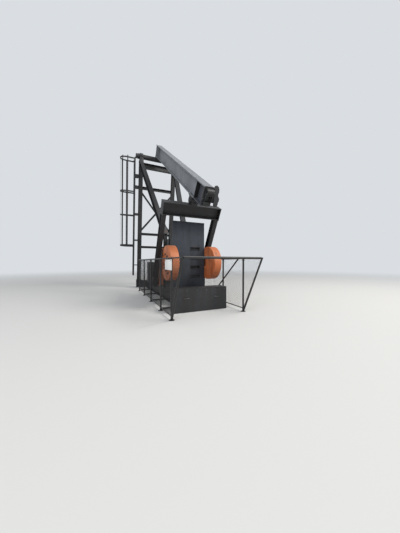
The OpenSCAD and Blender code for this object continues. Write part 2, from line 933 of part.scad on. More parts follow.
module pitmans() {
  z1 = -pivot_drop + 13 - yoke_h - seat;
  z0 = -pitman_l + 208;
  color("lightgray") on_link() both_sides() translate([0, pitman_in + pitman_w / 2, 0]) {
    translate([0, 0, z0]) column(z1 - z0, pitman_w, pitman_d, 16);
    block([-pitman_d / 2 - 30, -pitman_w / 2, z1 - 25], [pitman_d / 2 + 30, pitman_w / 2, z1]);
    block([-pitman_d / 2, -pitman_w / 2, z0], [pitman_d / 2, pitman_w / 2, z0 + 25]);
  }
}

module wrist_bearings() {
  y0 = pitman_in;
  y1 = pitman_in + pitman_w;
  color("gray") on_link() both_sides() {
    disc(0, -pitman_l, wrist_house_r, y0, y1);
    block([-pitman_d / 2, y0, -pitman_l], [pitman_d / 2, y1, -pitman_l + 208 - seat]);
    disc(0, -pitman_l, 110, y1 - 1, y1 + 30);
  }
}

skid_rails();
skid_crossbars();
front_box();
rear_crossbeam();
pedestal();
gear_case();
gear_cover();
shaft_bearings();
step_plate();
plate_posts();
front_posts();
front_leg_left();
front_leg_right();
rear_leg_left();
rear_leg_right();
head_beam();
lateral_bars();
cross_brace();
pivot_bearings();
ladder();
ladder_brackets();
cage_hoops();
cage_straps();
guard_left();
guard_right();
guard_front_rail();
guard_stays();
belt_guard();
sheaves();
drive_belt();
motor();
motor_base();
control_cabinet();
crank_shaft();
crank_left();
crank_right();
counterweights();
wrist_pins();
walking_beam();
cross_tube();
yoke_hanger();
horsehead_bracket();
yoke();
yoke_bearing();
pitmans();
wrist_bearings();
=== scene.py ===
# %% [markdown]
# This lesson dresses a front-mounted beam pumping unit. The engineering solids come in first and
# stay where they are. Everything below gives them paint, adds the small parts that a builder
# bolts on, and puts a finer piece in place of four of them. Loading them first means that every
# later place can be taken from them.

# %% Load the solids
import bpy
import json
import math
from mathutils import Matrix, Vector


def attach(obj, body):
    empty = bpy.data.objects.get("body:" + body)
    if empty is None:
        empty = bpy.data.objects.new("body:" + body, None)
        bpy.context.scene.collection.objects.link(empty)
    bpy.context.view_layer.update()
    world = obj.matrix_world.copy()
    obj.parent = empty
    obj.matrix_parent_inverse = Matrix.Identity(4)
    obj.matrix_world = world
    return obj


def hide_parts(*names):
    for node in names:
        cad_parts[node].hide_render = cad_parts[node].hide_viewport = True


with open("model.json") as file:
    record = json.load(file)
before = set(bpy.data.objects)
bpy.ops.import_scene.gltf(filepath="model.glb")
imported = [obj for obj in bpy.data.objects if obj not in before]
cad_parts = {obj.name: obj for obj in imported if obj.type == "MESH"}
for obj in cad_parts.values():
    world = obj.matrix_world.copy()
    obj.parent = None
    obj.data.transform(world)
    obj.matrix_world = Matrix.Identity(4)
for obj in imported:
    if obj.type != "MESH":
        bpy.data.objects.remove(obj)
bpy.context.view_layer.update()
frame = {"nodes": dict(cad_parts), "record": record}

nodes = frame["nodes"]

# %% [markdown]
# The unit is seen from in front and to the left, from eye height, through a very wide lens. The
# camera could be placed by eye, but it was worked out from the edges of the skid and the beam,
# so that the slope of the beam and the size of the step plate agree together. The lens comes
# from the same lines: its focal length is 200 pixels of a picture that is 533 pixels tall.

# %% Camera
eye = Vector((7.05, -2.545, 1.47))
look = Vector((-0.9085, 0.418, -0.0225))
sensor, focal_pixels, picture_pixels = 36.0, 200, 533
camera = bpy.data.objects.new("Camera", bpy.data.cameras.new("Camera"))
bpy.context.scene.collection.objects.link(camera)
camera.location = eye
camera.rotation_euler = look.to_track_quat("-Z", "Y").to_euler()
camera.data.sensor_fit = "AUTO"
camera.data.sensor_width = sensor
camera.data.lens = sensor * focal_pixels / picture_pixels
camera.data.clip_end = 400.0
bpy.context.scene.camera = camera
print("camera at", tuple(eye), "lens", round(camera.data.lens, 2))


# %% [markdown]
# Old paint is never one colour. It chalks in big soft patches, rain draws it downwards in streaks,
# dust gathers, and rust breaks through in small islands. A picture could carry all this, but noise
# patterns on the object's own coordinates need no picture and keep their scale on every part.
# Three helpers build such a pattern: a noise, a mask that keeps its high places, and a blend of
# two colours by that mask.

# %% Noise, mask and blend
def noise(tree, scale, detail, stretch=(1.0, 1.0, 1.0)):
    where = tree.nodes.new("ShaderNodeTexCoord")
    mapping = tree.nodes.new("ShaderNodeMapping")
    mapping.inputs["Scale"].default_value = stretch
    pattern = tree.nodes.new("ShaderNodeTexNoise")
    pattern.inputs["Scale"].default_value = scale
    pattern.inputs["Detail"].default_value = detail
    pattern.inputs["Roughness"].default_value = 0.6
    tree.links.new(where.outputs["Object"], mapping.inputs["Vector"])
    tree.links.new(mapping.outputs["Vector"], pattern.inputs["Vector"])
    return pattern.outputs["Fac"]


def mask(tree, value, low, high):
    ramp = tree.nodes.new("ShaderNodeMapRange")
    ramp.inputs["From Min"].default_value = low
    ramp.inputs["From Max"].default_value = high
    tree.links.new(value, ramp.inputs["Value"])
    return ramp.outputs["Result"]


def blend(tree, amount, below, above):
    mix = tree.nodes.new("ShaderNodeMix")
    mix.data_type = "RGBA"
    tree.links.new(amount, mix.inputs[0])
    for socket, colour in ((mix.inputs[6], below), (mix.inputs[7], above)):
        if isinstance(colour, tuple):
            socket.default_value = (*colour, 1.0)
        else:
            tree.links.new(colour, socket)
    return mix.outputs[2]


print("helpers: noise, mask, blend")


# %% [markdown]
# One function makes every finish, layer over layer, in the order in which they came to the real
# one: the coat, its chalky patches, the dirt that rain drew down, fine specks of dust, and rust on
# top. Rust is duller than paint, so it raises the roughness too. A fine bump breaks up the gloss.

# %% Weathered finish
def weathered(name, coat, chalk, grime, rust, rust_from, rough):
    """Rust shows where a noise passes rust_from, so a higher value means less of it."""
    fine = 38.0
    made = bpy.data.materials.new("aged_" + name)
    made.use_nodes = True
    tree = made.node_tree
    skin = tree.nodes["Principled BSDF"]
    patches = mask(tree, noise(tree, 1.1, 5.0), 0.38, 0.66)
    streaks = mask(tree, noise(tree, 5.5, 6.0, (1.0, 1.0, 0.13)), 0.5, 0.74)
    specks = mask(tree, noise(tree, fine, 8.0), 0.5, 0.78)
    spots = mask(tree, noise(tree, 4.2, 9.0), rust_from, rust_from + 0.05)
    dust = tuple(0.5 * (a + b) for a, b in zip(chalk, grime))
    colour = coat
    for amount, layer in ((patches, chalk), (streaks, grime), (specks, dust), (spots, rust)):
        colour = blend(tree, amount, colour, layer)
    tree.links.new(colour, skin.inputs["Base Color"])
    duller = tree.nodes.new("ShaderNodeMapRange")
    duller.inputs["To Min"].default_value = rough
    duller.inputs["To Max"].default_value = min(0.95, rough + 0.3)
    tree.links.new(spots, duller.inputs["Value"])
    tree.links.new(duller.outputs["Result"], skin.inputs["Roughness"])
    bump = tree.nodes.new("ShaderNodeBump")
    bump.inputs["Strength"].default_value = 0.25
    bump.inputs["Distance"].default_value = 0.004
    tree.links.new(noise(tree, fine * 2.2, 6.0), bump.inputs["Height"])
    tree.links.new(bump.outputs["Normal"], skin.inputs["Normal"])
    made.diffuse_color = (*coat, 1.0)
    return made


print("helper: weathered")

# %% [markdown]
# The machine wears only a few finishes: near-black paint on the frame, a greyer coat on the beam,
# blue-grey on the step plate, sun-bleached orange on the weights, bare iron on the bolts. Each
# could be tuned on its own nodes, but one table keeps them easy to compare. A row gives the four
# colours, coat, chalk, grime and rust, then how rare the rust is and how rough the coat.

# %% Finishes
rust = (0.16, 0.052, 0.02)
recipes = {
    "dark_paint": ((0.010, 0.011, 0.012), (0.026, 0.027, 0.030), (0.017, 0.013, 0.009),
                   rust, 0.68, 0.55),
    "rail_paint": ((0.007, 0.007, 0.008), (0.019, 0.019, 0.020), (0.030, 0.025, 0.021),
                   rust, 0.71, 0.42),
    "plate_paint": ((0.018, 0.024, 0.034), (0.038, 0.047, 0.061), (0.013, 0.016, 0.020),
                    rust, 0.72, 0.5),
    "orange_paint": ((0.48, 0.125, 0.036), (0.62, 0.235, 0.11), (0.20, 0.062, 0.028),
                     (0.10, 0.036, 0.018), 0.67, 0.6),
    "light_paint": ((0.145, 0.157, 0.172), (0.235, 0.246, 0.262), (0.112, 0.116, 0.122),
                    (0.17, 0.065, 0.03), 0.71, 0.55),
    "motor_paint": ((0.035, 0.040, 0.046), (0.075, 0.080, 0.086), (0.022, 0.020, 0.018),
                    rust, 0.72, 0.45),
    "bare_iron": ((0.10, 0.095, 0.090), (0.19, 0.185, 0.18), (0.035, 0.030, 0.026),
                  (0.14, 0.055, 0.025), 0.62, 0.4),
    "belt_rubber": ((0.012, 0.012, 0.012), (0.030, 0.029, 0.028), (0.050, 0.045, 0.040),
                    (0.06, 0.05, 0.045), 0.75, 0.8),
    "sign_white": ((0.78, 0.78, 0.77), (0.86, 0.86, 0.85), (0.56, 0.54, 0.50),
                   (0.36, 0.20, 0.11), 0.76, 0.4),
}
finishes = {name: weathered(name, *recipe) for name, recipe in recipes.items()}
iron_skin = finishes["bare_iron"].node_tree.nodes["Principled BSDF"]
iron_skin.inputs["Metallic"].default_value = 0.8
for part in frame["record"]["subparts"]:
    solid = nodes[part["node"]]
    solid.data.materials.clear()
    solid.data.materials.append(finishes[part["material_slot"]])
print("finishes:", sorted(finishes))

# %% [markdown]
# The moving groups each have a slanting frame of their own. A bolt on the walking beam is easiest
# to place along the beam, and one on a pitman along the pitman. Working such places out in the
# shared frame would hide their plain numbers, so one helper turns them, and the slants come from
# the machine's few main points: the beam's pivot, the yoke's bearing and the crank shaft.

# %% Main points and slanting frames
pivot_x, pivot_z = -3.94, 7.02
yoke_x, yoke_z = 1.03, 3.47
shaft_z, crank_radius = 1.70, 1.15
sides = ((-1, "left"), (1, "right"))


def slanted(origin, tilt):
    return Matrix.Translation(Vector(origin)) @ Matrix.Rotation(tilt, 4, "Y")


level = Matrix.Identity(4)
along_beam = slanted((pivot_x, 0.0, pivot_z), math.atan2(pivot_z - yoke_z, yoke_x - pivot_x))
beam_reach = math.hypot(pivot_z - yoke_z, yoke_x - pivot_x)
along_pitman = slanted((yoke_x, 0.0, yoke_z), math.atan2(yoke_x, yoke_z - shaft_z))
pitman_length = math.hypot(yoke_x, yoke_z - shaft_z) + crank_radius
weight_arm = slanted((0.0, 0.0, shaft_z), math.radians(18.0))
print("beam reach", round(beam_reach, 3), "pitman", round(pitman_length, 3))

# %% [markdown]
# Every piece is finished in the same way, so one helper does it. It applies the place, rounds the
# edges, turns the normals outwards and smooths the shallow angles. It also says which moving group
# the piece rides on and which finish it wears. An operator acts on all that is selected, so
# everything is let go of before each one.

# %% Finishing helpers
smooth_below = math.radians(35.0)


def fresh():
    if bpy.context.object and bpy.context.object.mode != "OBJECT":
        bpy.ops.object.mode_set(mode="OBJECT")
    bpy.ops.object.select_all(action="DESELECT")


def pick(*objects):
    fresh()
    for o in objects:
        o.select_set(True)
    bpy.context.view_layer.objects.active = objects[0]


def settle(piece, name, body, slot, bevel=0.0):
    pick(piece)
    bpy.ops.object.transform_apply(location=True, rotation=True, scale=True)
    if bevel:
        soft = piece.modifiers.new("soft edges", "BEVEL")
        soft.width = bevel
        soft.segments = 2
        bpy.ops.object.modifier_apply(modifier=soft.name)
    bpy.ops.object.mode_set(mode="EDIT")
    bpy.ops.mesh.select_all(action="SELECT")
    bpy.ops.mesh.normals_make_consistent(inside=False)
    bpy.ops.object.mode_set(mode="OBJECT")
    bpy.ops.object.shade_smooth_by_angle(angle=smooth_below)
    piece.name = name
    piece.data.name = name
    piece.data.materials.clear()
    piece.data.materials.append(finishes[slot])
    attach(piece, body)
    return piece


print("helpers: fresh, pick, settle; smooth below", round(math.degrees(smooth_below)))


# %% [markdown]
# Hex bolts hold the whole machine together and give the eye its scale. Each could be a plain
# cylinder, but up close that looks wrong. So one bolt is modelled with care, a washer under a
# head whose top edge is chamfered, and each row of bolts is a set of copies joined into one piece.

# %% Bolt master
def bolt_master():
    """A bolt of unit size: a row scales its copies to the radius of its heads."""
    fresh()
    bpy.ops.mesh.primitive_cylinder_add(vertices=16, radius=1.25, depth=0.2, location=(0, 0, 0.1))
    washer = bpy.context.object
    fresh()
    bpy.ops.mesh.primitive_cylinder_add(vertices=6, radius=1.0, depth=0.8, location=(0, 0, 0.6))
    head = bpy.context.object
    bpy.ops.object.mode_set(mode="EDIT")
    bpy.ops.mesh.select_all(action="DESELECT")
    bpy.ops.object.mode_set(mode="OBJECT")
    for face in head.data.polygons:
        face.select = face.normal.z > 0.9
    bpy.ops.object.mode_set(mode="EDIT")
    bpy.ops.mesh.select_mode(type="FACE")
    bpy.ops.mesh.inset(thickness=0.18)
    bpy.ops.transform.translate(value=(0, 0, 0.12))
    bpy.ops.object.mode_set(mode="OBJECT")
    pick(washer, head)
    bpy.ops.object.join()
    bpy.ops.object.transform_apply(location=True, rotation=True, scale=True)
    return washer


bolt = bolt_master()
print("bolt faces:", len(bolt.data.polygons))


# %% [markdown]
# On the real machine bolts come in rows and rings. Each copy has to stand upright on its surface,
# so a row is given its spots, the direction that the surface faces and the size of its bolts. It
# could be an array modifier, but a list of spots also fits rings and rows on slanting pieces.

# %% Rows and rings of bolts
def facing(direction):
    """The turn that lays the z axis of a piece along a direction."""
    return Vector((0, 0, 1)).rotation_difference(Vector(direction)).to_matrix().to_4x4()


def bolts(name, spots, direction, size, body, space=level, slot="bare_iron"):
    copies = []
    for spot in spots:
        copy = bolt.copy()
        copy.data = bolt.data.copy()
        bpy.context.scene.collection.objects.link(copy)
        copy.matrix_world = (space @ Matrix.Translation(Vector(spot)) @ facing(direction)
                             @ Matrix.Diagonal((size, size, size, 1.0)))
        copies.append(copy)
    pick(*copies)
    if len(copies) > 1:
        bpy.ops.object.join()
    print(name, len(spots))
    return settle(bpy.context.object, name, body, slot)


print("helpers: facing, bolts")


# %% [markdown]
# Plates, lugs and lids are cut from stock, so their edges are slightly rounded. A box with sharp
# edges would catch no light there. So each plate starts as a cube of the real size and is
# bevelled, and a panel in it is inset and pushed in before that.

# %% Plates
def plate(name, corner, opposite, body, slot, space=level, bevel=0.004, panel=None):
    """A plate between two opposite corners. A panel is sunk into the side that panel faces."""
    low, high = (Vector([end(pair) for pair in zip(corner, opposite)]) for end in (min, max))
    panel_rim, panel_depth = 0.02378, 0.004
    fresh()
    bpy.ops.mesh.primitive_cube_add(size=1.0)
    piece = bpy.context.object
    piece.scale = high - low
    piece.location = (low + high) / 2
    bpy.ops.object.transform_apply(location=True, rotation=True, scale=True)
    if panel:
        for face in piece.data.polygons:
            face.select = face.normal.dot(Vector(panel)) > 0.9
        bpy.ops.object.mode_set(mode="EDIT")
        bpy.ops.mesh.select_mode(type="FACE")
        bpy.ops.mesh.inset(thickness=panel_rim)
        bpy.ops.transform.translate(value=Vector(panel) * -panel_depth)
        bpy.ops.object.mode_set(mode="OBJECT")
    piece.matrix_world = space
    return settle(piece, name, body, slot, bevel)


print("helper: plate")


# %% [markdown]
# Caps, plugs, collars and flanges were turned on a lathe. A profile could be spun round its axis,
# but a circle that is extruded and resized from step to step shows how the shape comes about.
# Eyes and straps are rod bent into a ring, so a torus fits.

# %% Turned pieces and rings
def turned(name, profile, base, direction, body, slot, space=level, steps=32):
    """A round piece built up from (radius, height) points along its axis."""
    fresh()
    bpy.ops.mesh.primitive_circle_add(vertices=steps, radius=profile[0][0], fill_type="NGON")
    piece = bpy.context.object
    bpy.ops.object.mode_set(mode="EDIT")
    bpy.ops.mesh.select_mode(type="FACE")
    bpy.ops.mesh.select_all(action="SELECT")
    for (r0, h0), (r1, h1) in zip(profile, profile[1:]):
        bpy.ops.mesh.extrude_region_move(TRANSFORM_OT_translate={"value": (0, 0, h1 - h0)})
        bpy.ops.transform.resize(value=(r1 / r0, r1 / r0, 1.0))
    bpy.ops.mesh.select_all(action="SELECT")
    bpy.ops.object.mode_set(mode="OBJECT")
    piece.matrix_world = space @ Matrix.Translation(Vector(base)) @ facing(direction)
    return settle(piece, name, body, slot)


def ring(name, centre, big, small, turn, slot):
    fresh()
    bpy.ops.mesh.primitive_torus_add(major_radius=big, minor_radius=small, major_segments=32,
                                     minor_segments=10, location=centre, rotation=turn)
    return settle(bpy.context.object, name, "frame", slot)


print("helpers: turned, ring")

# %% [markdown]
# The gear case is split at the height of the crank shaft so that the shaft can be laid in. Its
# halves are held by a row of bolts on the front and rear flanges. The cover has an inspection lid
# with bolts of its own, a breather and four lifting eyes, and a drain plug sits low at the rear.
# The case itself is a solid already, so only these fittings are added to it.

# %% Gear case
case_half, lip = 0.44, 0.035
for name, x, out in (("front", 0.52, 1), ("rear", -0.75, -1)):
    plate("case_flange_" + name, (x, -case_half, shaft_z - lip),
          (x + out * lip, case_half, shaft_z + lip), "frame", "dark_paint")
    bolts("case_bolts_" + name, [(x + out * 0.017, y, shaft_z + lip)
          for y in (-0.38, -0.19, 0.0, 0.19, 0.38)], (0, 0, 1), 0.016, "frame")
lid_x, lid_top, lid_pitch = -0.115, 2.39, (-0.22, 0.0, 0.22)
bolts("lid_bolts", [(lid_x + x, y, lid_top) for x in lid_pitch for y in lid_pitch if x or y],
      (0, 0, 1), 0.014, "frame")
for k, (x, y) in enumerate(((-0.66, -0.33), (0.43, 0.33), (-0.66, 0.33), (0.43, -0.33))):
    ring("lifting_eye_%d" % k, (x, y, 2.385), 0.045, 0.013, (math.pi / 2, 0, 0), "dark_paint")
turned("breather", [(0.03, 0.0), (0.03, 0.06), (0.05, 0.061), (0.05, 0.10), (0.035, 0.125)],
       (0.12, 0.15, 2.35), (0, 0, 1), "frame", "bare_iron")
turned("drain_plug", [(0.045, 0.0), (0.045, 0.02), (0.026, 0.021), (0.026, 0.05)],
       (-0.75, -0.2, 1.25), (-1, 0, 0), "frame", "bare_iron")

# %% [markdown]
# The dark blue-grey step plate stands in front of the gear case on two flat posts. Bolts run down
# both of its sides, and a thin rolled edge stiffens the top and each foot slot. They could be cut
# into the plate, but as pieces of their own they keep its solid as it is.

# %% Step plate
front = 0.592
bolts("plate_bolts", [(front, y, z) for y in (-0.43, 0.43)
      for z in (0.66, 1.10, 1.54, 2.00, 2.44, 2.78)],
      (1, 0, 0), 0.013, "frame", slot="plate_paint")
plate("plate_top_edge", (front - 0.012, -0.58, 2.835), (front + 0.022, 0.59, 2.85), "frame",
      "plate_paint", bevel=0.003)
plate("plate_seam", (front - 0.002, -0.575, 2.410), (front + 0.004, 0.585, 2.425), "frame",
      "plate_paint", bevel=0.001)
slot_bottom, slot_pitch = 0.925, 0.32
for k in range(4):
    z = slot_bottom + slot_pitch * k
    plate("slot_lip_%d" % k, (front, 0.055, z), (front + 0.02, 0.425, z + 0.0115), "frame",
          "plate_paint", bevel=0.003)


# %% [markdown]
# Grab bars are bent from rod, and later the guards are welded from pipe. Cylinders would leave
# gaps where two of them meet at an angle. A curve with a round section, made mesh, turns each
# corner cleanly, and several runs in one curve come out as one welded piece.

# %% Rods and pipes
def wires(name, runs, radius, roundness, slot):
    """Bars in one piece: each run is its points and its share of the radius."""
    line = bpy.data.curves.new(name, "CURVE")
    line.dimensions = "3D"
    line.bevel_depth = radius
    line.bevel_resolution = roundness
    line.use_fill_caps = True
    for points, share in runs:
        spline = line.splines.new("POLY")
        spline.points.add(len(points) - 1)
        for spot, co in zip(spline.points, points):
            spot.co = (*co, 1.0)
            spot.radius = share
    piece = bpy.data.objects.new(name, line)
    bpy.context.scene.collection.objects.link(piece)
    pick(piece)
    bpy.ops.object.convert(target="MESH")
    return settle(bpy.context.object, name, "frame", slot)


print("helper: wires")

# %% [markdown]
# The front box of the skid is a plain painted box. Its lid shows as a thin lip all round, and two
# grab bars and a row of bolts break the front. The box itself is a solid already, and each of
# these is a piece of its own on it. A grab bar is one rod of six points, bent at both ends.

# %% Front box
box_front, bar_front, bar_z, bar_half = 1.65, 1.70, 0.42, 0.09
plate("box_lid", (1.24, -0.86, 0.672), (box_front, 0.86, 0.702), "frame", "dark_paint",
      bevel=0.006)
bolts("box_bolts", [(box_front, y, 0.63) for y in (-0.78, -0.47, -0.16, 0.16, 0.47, 0.78)],
      (1, 0, 0), 0.012, "frame")
bend = [(box_front - 0.002, bar_half), (bar_front - 0.01, bar_half - 0.005),
        (bar_front, bar_half - 0.015)]
for k, middle in enumerate((-0.5, 0.5)):
    path = [(x, middle - y, bar_z) for x, y in bend]
    path += [(x, middle + y, bar_z) for x, y in reversed(bend)]
    wires("grab_bar_%d" % k, [(path, 1.0)], 0.009, 3, "bare_iron")


# %% [markdown]
# Some plates have an outline of their own. A cube could be cut to shape, but it is simpler to
# draw the outline as a filled curve, give it its thickness and make it mesh. Bolts that hold
# something round stand in a ring, so a second helper gives the spots of one.

# %% Cut plates and rings of spots
def cut_plate(name, outline, thick, body, slot, space):
    """A flat plate of any outline in the x and z of its space, with its thickness along y."""
    line = bpy.data.curves.new(name, "CURVE")
    line.dimensions = "2D"
    line.fill_mode = "BOTH"
    line.extrude = thick / 2
    spline = line.splines.new("POLY")
    spline.points.add(len(outline) - 1)
    for point, (x, z) in zip(spline.points, outline):
        point.co = (x, z, 0.0, 1.0)
    spline.use_cyclic_u = True
    piece = bpy.data.objects.new(name, line)
    bpy.context.scene.collection.objects.link(piece)
    pick(piece)
    bpy.ops.object.convert(target="MESH")
    piece = bpy.context.object
    piece.matrix_world = space @ Matrix.Rotation(math.pi / 2, 4, "X")
    return settle(piece, name, body, slot, 0.003)


def circle(centre, radius, count):
    """Evenly spaced spots round a centre, on a circle that faces along y."""
    turns = [2 * math.pi * k / count for k in range(count)]
    return [Vector(centre) + radius * Vector((math.cos(t), 0, math.sin(t))) for t in turns]


print("helpers: cut_plate, circle")

# %% [markdown]
# The orange counterweights are heavy castings in two halves, clamped to the crank by two rows of
# bolts. Raised pads stand on their flat face, a nose closes the gap between the halves round the
# tip of the crank, and a ring of bolts holds the hub on its shaft. The nose could be a plain
# block, but it has to follow the round edge of the weight, so its outline is drawn as an arc.

# %% Counterweights
weight_face, weight_radius, weight_middle, jaw = 0.855, 0.56, 0.84, 0.1795
arc = [math.radians(-18.7 + 3.74 * k) for k in range(11)]
nose = [(1.18, -jaw)] + [(weight_middle + weight_radius * math.cos(a),
                          weight_radius * math.sin(a)) for a in arc] + [(1.18, jaw)]
for side, label in sides:
    face = side * weight_face
    bolts("weight_bolts_" + label, [(x, face, z) for x in (0.66, 0.90, 1.14)
          for z in (-0.235, 0.235)], (0, side, 0), 0.030, "crank", weight_arm)
    for k, half in enumerate((-1, 1)):
        plate("weight_pad_%s_%d" % (label, k), (0.60, face - side * 0.004, half * 0.31),
              (1.10, face + side * 0.0045, half * 0.40), "crank", "orange_paint", weight_arm,
              bevel=0.003)
    cut_plate("weight_nose_" + label, nose, 0.255, "crank", "orange_paint",
              weight_arm @ Matrix.Translation((0, side * 0.7275, 0)))
    bolts("hub_bolts_" + label, circle((0, side * 0.80, shaft_z), 0.205, 10), (0, side, 0), 0.020,
          "crank")

# %% [markdown]
# Each wrist bearing has a round cap with a ring of bolts and a grease fitting. Bolts also hold the
# foot plate where a pitman meets the yoke, a plate closes each end of the yoke, and four bolts
# hold the feet of its bearing. All of them are placed along the pitman, so that they keep its
# slant, and they ride on the pitman frame.

# %% Pitman ends
foot_under = -0.5553
for side, label in sides:
    bolts("wrist_bolts_" + label, circle((0, side * 1.005, -pitman_length), 0.148, 8),
          (0, side, 0), 0.015, "pitman_frame", along_pitman)
    turned("grease_cap_" + label, [(0.04, 0.0), (0.04, 0.008), (0.012, 0.009), (0.012, 0.022)],
           (0, side * 1.035, -pitman_length), (0, side, 0), "pitman_frame", "bare_iron",
           along_pitman, 20)
    bolts("yoke_bolts_" + label, [(x, side * y, foot_under) for x in (-0.139, 0.139)
          for y in (0.895, 0.975)], (0, 0, -1), 0.011, "pitman_frame", along_pitman)
for side in (-1, 1):
    plate("yoke_end_%d" % (side + 1), (-0.165, side * 0.985, -0.506),
          (0.165, side * 1.003, -0.154), "pitman_frame", "dark_paint", along_pitman)
bolts("bearing_feet", [(x, y, -0.08) for x in (-0.127, 0.127) for y in (-0.07, 0.07)],
      (0, 0, 1), 0.014, "pitman_frame", along_pitman)


# %% [markdown]
# The walking beam is one rolled I section, and its web is plain from the pivot to the yoke. The
# rounded roots of the web are what tells it from a beam of flat plates, so the section is drawn
# with them and run along the whole length. It stands in for the simpler solid. Pairs of
# stiffeners stand beside the web over the cross tube, a little in front of the yoke, and at the
# front end. Each is a plate with its inner corners snipped, to clear the roots.

# %% Walking beam
def i_outline(wide, high, flange, web, root=0.0):
    """The outline of an I beam round its middle, with a fillet at each root of the web."""
    quarter = [(wide / 2, high / 2), (wide / 2, high / 2 - flange)]
    for k in range(5 if root else 1):
        turn = math.radians(22.5 * k)
        quarter.append((web / 2 + root * (1 - math.sin(turn)),
                        high / 2 - flange - root * (1 - math.cos(turn))))
    right = quarter + [(x, -z) for x, z in reversed(quarter)]
    return right + [(-x, -z) for x, z in right]


beam_low, beam_high, beam_wide = 0.143, 0.693, 0.280
flange_thick, web_thick = 0.030, 0.024
tip, tail = beam_reach + 0.882, -0.250
beam_deep, beam_middle, root = beam_high - beam_low, (beam_low + beam_high) / 2, 0.024
crosswise = Matrix.Rotation(math.pi / 2, 4, "Z")


def across_beam(x):
    """The space of a plate that stands across the beam, at its middle height."""
    return along_beam @ Matrix.Translation((x, 0, beam_middle)) @ crosswise


section = cut_plate("beam_section", i_outline(beam_wide, beam_deep, flange_thick, web_thick, root),
                    tip - tail, "walking_beam_body", "light_paint", across_beam((tip + tail) / 2))
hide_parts("walking_beam")
inner, outer = web_thick / 2 - 0.002, beam_wide / 2 - 0.008
reach, snip = beam_deep / 2 - flange_thick + 0.001, 0.034
stiffener = [(inner, -reach + snip), (inner + snip, -reach), (outer, -reach),
             (outer, reach), (inner + snip, reach), (inner, reach - snip)]
step_x = beam_reach + 0.24
for k, x in enumerate((-0.18, 0.18, step_x, tip - 0.04)):
    for side, label in sides:
        mirrored = [(side * y, z) for y, z in stiffener][::side]
        cut_plate("stiffener_%s_%d" % (label, k), mirrored, 0.020, "walking_beam_body",
                  "light_paint", across_beam(x))
print("beam length:", round(tip - tail, 3))


# %% [markdown]
# The web at the front end of the beam is painted much darker than the rest. This is painted shade
# under the upper flange and in front of the stiffener, darkest as painted shade in the corner by
# the stiffener. A second material would need a cut in the mesh. The paint already knows its place,
# so a zone is worked out from that place instead. It runs from one point along the beam to
# another, stops under the upper flange, and is mixed over the coat.

# %% Painted shade on the front end of the beam
def paint_shade_zone(finish, starts, ends, below, colour):
    """Darken the beam from one place along it to another, up to one height over it."""
    tree = finish.node_tree
    into_beam = along_beam.inverted()
    zone = None
    for row, low, high in ((0, starts, starts + 0.006), (0, ends, ends - 0.03),
                           (2, below + 0.004, below - 0.004)):
        where = tree.nodes.new("ShaderNodeTexCoord")
        dot = tree.nodes.new("ShaderNodeVectorMath")
        dot.operation = "DOT_PRODUCT"
        dot.inputs[1].default_value = into_beam[row][:3]
        tree.links.new(where.outputs["Object"], dot.inputs[0])
        offset = into_beam[row][3]
        inside = mask(tree, dot.outputs["Value"], low - offset, high - offset)
        if zone:
            both = tree.nodes.new("ShaderNodeMath")
            both.operation = "MULTIPLY"
            tree.links.new(zone, both.inputs[0])
            tree.links.new(inside, both.inputs[1])
            inside = both.outputs[0]
        zone = inside
    base = tree.nodes["Principled BSDF"].inputs["Base Color"]
    tree.links.new(blend(tree, zone, base.links[0].from_socket, colour), base)


under_flange, shade_start = beam_high - flange_thick, step_x + 0.003
# Painted shade: the web from the stiffener to the front end, and a darker strip of painted shade
# in the corner by the stiffener.
paint_shade_zone(finishes["light_paint"], shade_start, tip + 1.0, under_flange, (0.050, 0.054, 0.066))
paint_shade_zone(finishes["light_paint"], shade_start, step_x + 0.055, under_flange, (0.009, 0.009, 0.010))
print("painted_shade length:", round(tip - shade_start, 3))

# %% [markdown]
# Bolts through the lower flange hold the beam on the saddle of its cross tube, and the hanger of
# the yoke bearing under it. At the front a bracket is bolted on, and a wavy hinge plate stands on
# its far side. Blocks can't give such an uneven edge, so its outline is drawn point by point.

# %% Beam fittings
over_flange = beam_low + flange_thick
bolts("saddle_bolts", [(x, y, over_flange) for x in (-0.12, 0.0, 0.12) for y in (-0.10, 0.10)],
      (0, 0, 1), 0.018, "walking_beam_body", along_beam)
bolts("hanger_bolts", [(beam_reach + x, y, over_flange) for x in (-0.1, 0.0, 0.1)
      for y in (-0.10, 0.10)], (0, 0, 1), 0.018, "walking_beam_body", along_beam)
bracket_x = tip + 0.030
bolts("bracket_bolts", [(bracket_x, y, beam_low + z) for y in (-0.125, 0.125)
      for z in (0.10, 0.22, 0.55)], (1, 0, 0), 0.015, "walking_beam_body", along_beam)
for k, y in enumerate((-0.078, 0.078)):
    plate("bracket_web_%d" % k, (bracket_x, y - 0.012, beam_low + 0.17),
          (bracket_x + 0.055, y + 0.012, beam_low + 0.33), "walking_beam_body", "dark_paint",
          along_beam, bevel=0.003)
wavy = [(0.0, -0.25), (0.05, -0.285), (0.10, -0.27), (0.125, -0.21), (0.13, -0.16),
        (0.155, -0.12), (0.16, -0.05), (0.13, 0.0), (0.12, 0.05), (0.145, 0.11), (0.15, 0.19),
        (0.125, 0.26), (0.07, 0.295), (0.02, 0.28), (0.0, 0.22)]
hinge = slanted(along_beam @ Vector((tip + 0.10, 0.152, 0.49)), 0.15)
cut_plate("hinge_plate", wavy, 0.045, "walking_beam_body", "dark_paint", hinge @ crosswise)
plate("hinge_arm", (bracket_x, 0.10, 0.30), (tip + 0.12, 0.20, 0.56), "walking_beam_body",
      "dark_paint", along_beam)
for side, label in sides:
    turned("tube_collar_" + label, [(0.133, 0.0), (0.137, 0.004), (0.137, 0.036), (0.133, 0.04)],
           (0, side * 1.03, 0), (0, side, 0), "walking_beam_body", "dark_paint", along_beam, 48)
print("hinge plate of", len(wavy), "points")


